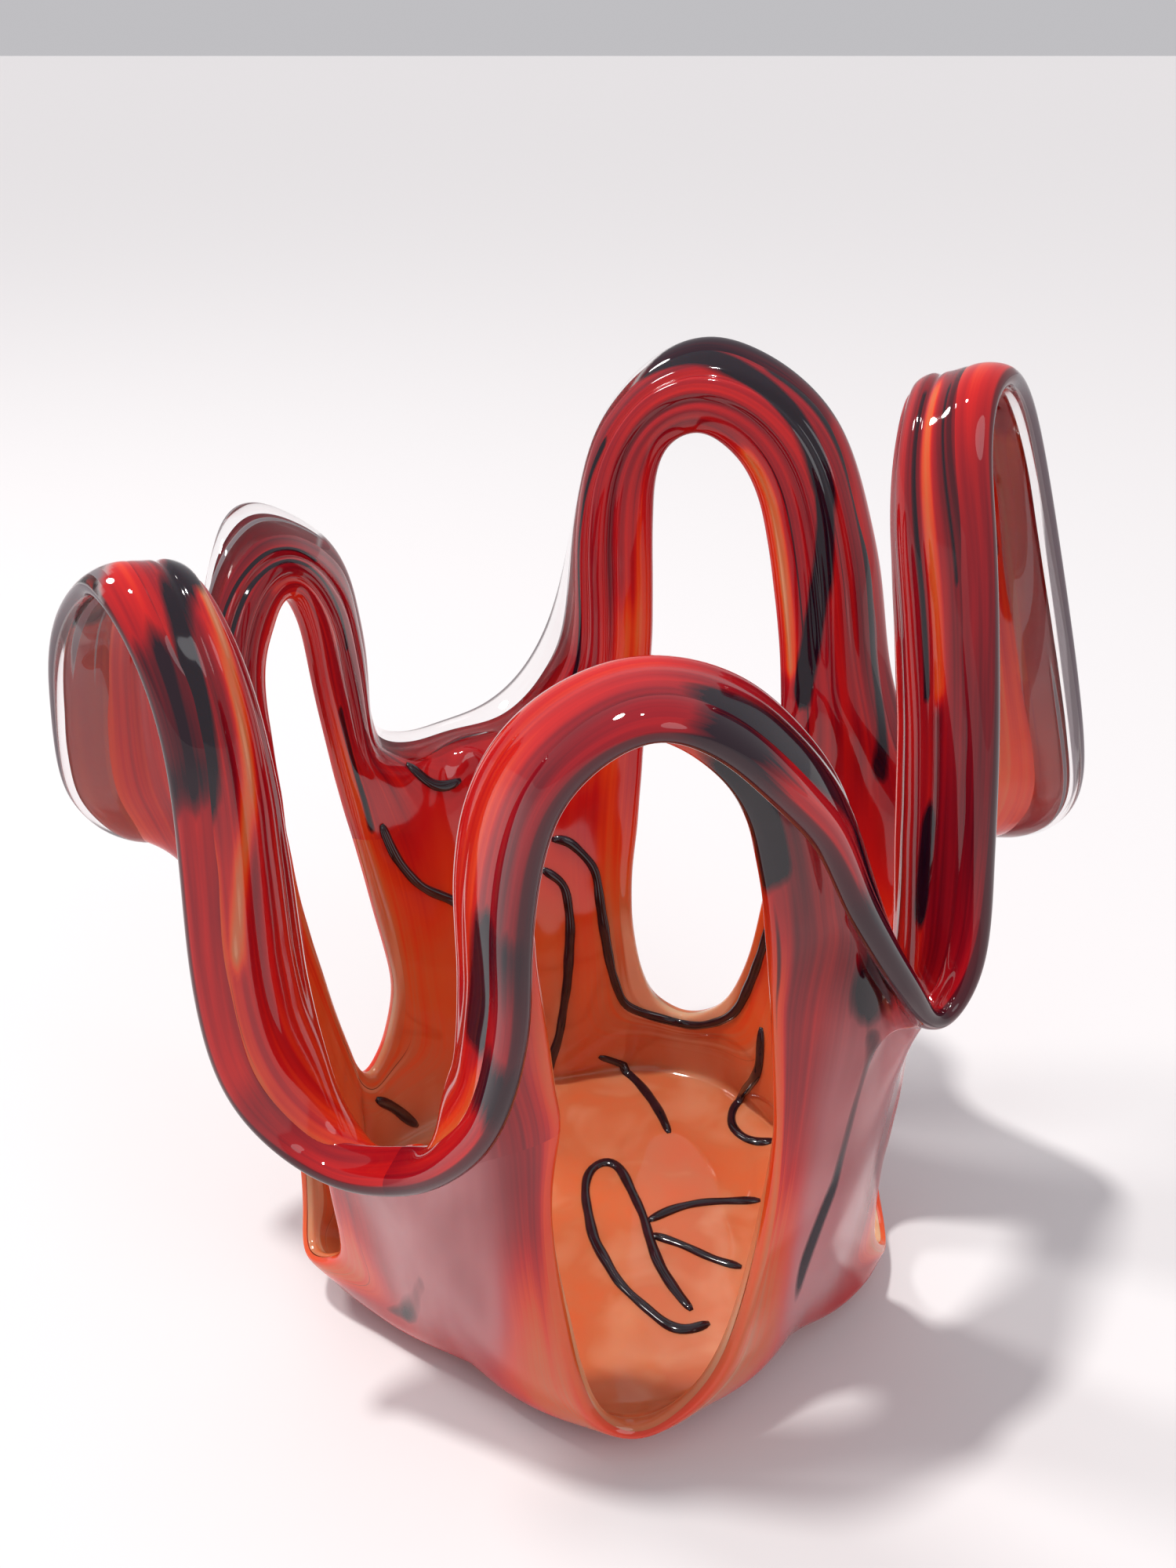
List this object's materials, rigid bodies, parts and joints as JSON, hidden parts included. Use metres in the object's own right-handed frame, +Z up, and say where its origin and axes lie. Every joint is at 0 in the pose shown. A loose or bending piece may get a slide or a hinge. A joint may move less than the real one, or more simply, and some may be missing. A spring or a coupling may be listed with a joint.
{
  "type": "art glass vase",
  "caption": "Free-standing blown glass vase: a flat-footed bowl whose wall is opened into tall loops joined by narrow webs, with a wavy flared lip.",
  "frame": {"origin": "centre of the ground foot, on the surface the vase stands on", "axes": "+Z up, -Y towards the front loop, +X towards the tallest loop on the right"},
  "size_m": [0.2929, 0.2325, 0.2935],
  "materials": {
    "ruby_casing": "fire-polished gloss",
    "orange_lining": "fire-polished gloss",
    "clear_lip_wrap": "fire-polished gloss",
    "foot_pad": "ground flat",
    "black_trail": "gloss"
  },
  "bodies": {
    "root": {"ruby_casing": "ruby_casing", "orange_lining": "orange_lining", "clear_lip_wrap": "clear_lip_wrap", "foot_pad": "foot_pad", "trail_back_valley": "black_trail", "trail_back_left_web": "black_trail", "trail_window_hem": "black_trail", "trail_hook": "black_trail", "trail_floor_spur": "black_trail", "trail_right_hook": "black_trail", "trail_left_floor": "black_trail", "trail_floor_loop": "black_trail", "trail_floor_branch_a": "black_trail", "trail_floor_branch_b": "black_trail"}
  },
  "joints": []
}
